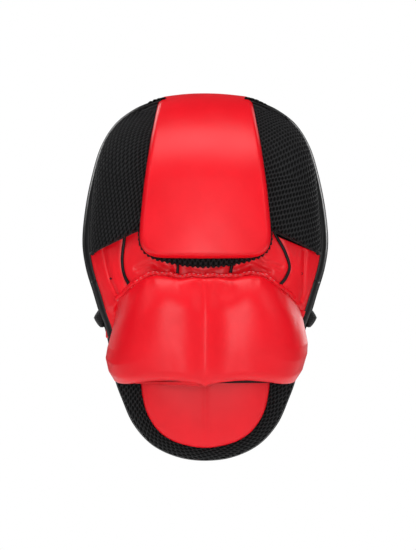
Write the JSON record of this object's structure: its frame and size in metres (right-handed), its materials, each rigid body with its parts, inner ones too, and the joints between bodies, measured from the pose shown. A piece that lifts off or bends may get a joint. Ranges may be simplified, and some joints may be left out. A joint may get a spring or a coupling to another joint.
{
  "type": "focus mitt",
  "caption": "Curved boxing focus mitt worn on one hand: bent foam pad with a round target, mesh finger hood with a padded strip, finger stalls, padded wrist cuff and heel pad.",
  "frame": {"origin": "middle of the palm rest, on the palm surface where the hand holds the mitt", "axes": "+Z from the wrist to the fingertips, +Y from the hand to the striking face, +X across the pad"},
  "size_m": [0.1908, 0.1113, 0.2885],
  "materials": {
    "red_pu": "glossy",
    "black_pu": "glossy",
    "air_mesh": "matte",
    "lining": "matte",
    "foam": "matte",
    "webbing": "matte"
  },
  "bodies": {
    "pad": {"heel_cover": "red_pu", "palm_grip_cover": "red_pu", "strip_cover": "red_pu", "crown_fold": "red_pu", "seam_roll": "red_pu", "face_lower": "red_pu", "target_ring": "red_pu", "face_fold_left": "red_pu", "face_fold_right": "red_pu", "target_patch": "red_pu", "finger_stall_1": "red_pu", "finger_stall_2": "red_pu", "finger_stall_3": "red_pu", "finger_stall_4": "red_pu", "finger_stall_5": "red_pu", "face_upper": "black_pu", "side_wall_crown": "black_pu", "side_wall_left": "black_pu", "side_wall_right": "black_pu", "side_wall_heel": "black_pu", "face_piping": "black_pu", "finger_piping_1": "black_pu", "finger_piping_2": "black_pu", "finger_piping_3": "black_pu", "finger_piping_4": "black_pu", "hood_mesh_left": "air_mesh", "hood_mesh_right": "air_mesh", "heel_border": "air_mesh", "cuff_gusset_left": "air_mesh", "cuff_gusset_right": "air_mesh", "palm_lining": "lining", "hood_lining": "lining", "comfort_foam": "foam", "core_foam": "foam", "impact_foam": "foam", "heel_foam": "foam", "palm_grip_foam": "foam", "strip_foam": "foam", "waist_webbing": "webbing", "webbing_end_left": "webbing", "webbing_end_right": "webbing", "mouth_binding_left": "webbing", "mouth_binding_right": "webbing"},
    "cuff": {"cuff_cover_left": "red_pu", "cuff_cover_right": "red_pu", "cuff_foam_left": "foam", "cuff_foam_right": "foam", "cuff_lining": "lining"},
    "hood_tongue": {"tongue_cover": "red_pu", "tongue_foam": "foam", "tongue_gusset": "air_mesh"}
  },
  "joints": [
    {"name": "cuff_lift", "type": "hinge", "parent": "pad", "child": "cuff", "pos_m": [0, -0.0345, 0.0204], "axis": [-1, 0, 0], "range_deg": [0, 15], "stiffness_Nm_per_rad": 1.2, "springref_deg": -6.88},
    {"name": "tongue_lift", "type": "hinge", "parent": "pad", "child": "hood_tongue", "pos_m": [0, -0.0392, 0.066], "axis": [-1, 0, 0], "range_deg": [0, 12], "stiffness_Nm_per_rad": 0.6, "springref_deg": -6.88}
  ]
}
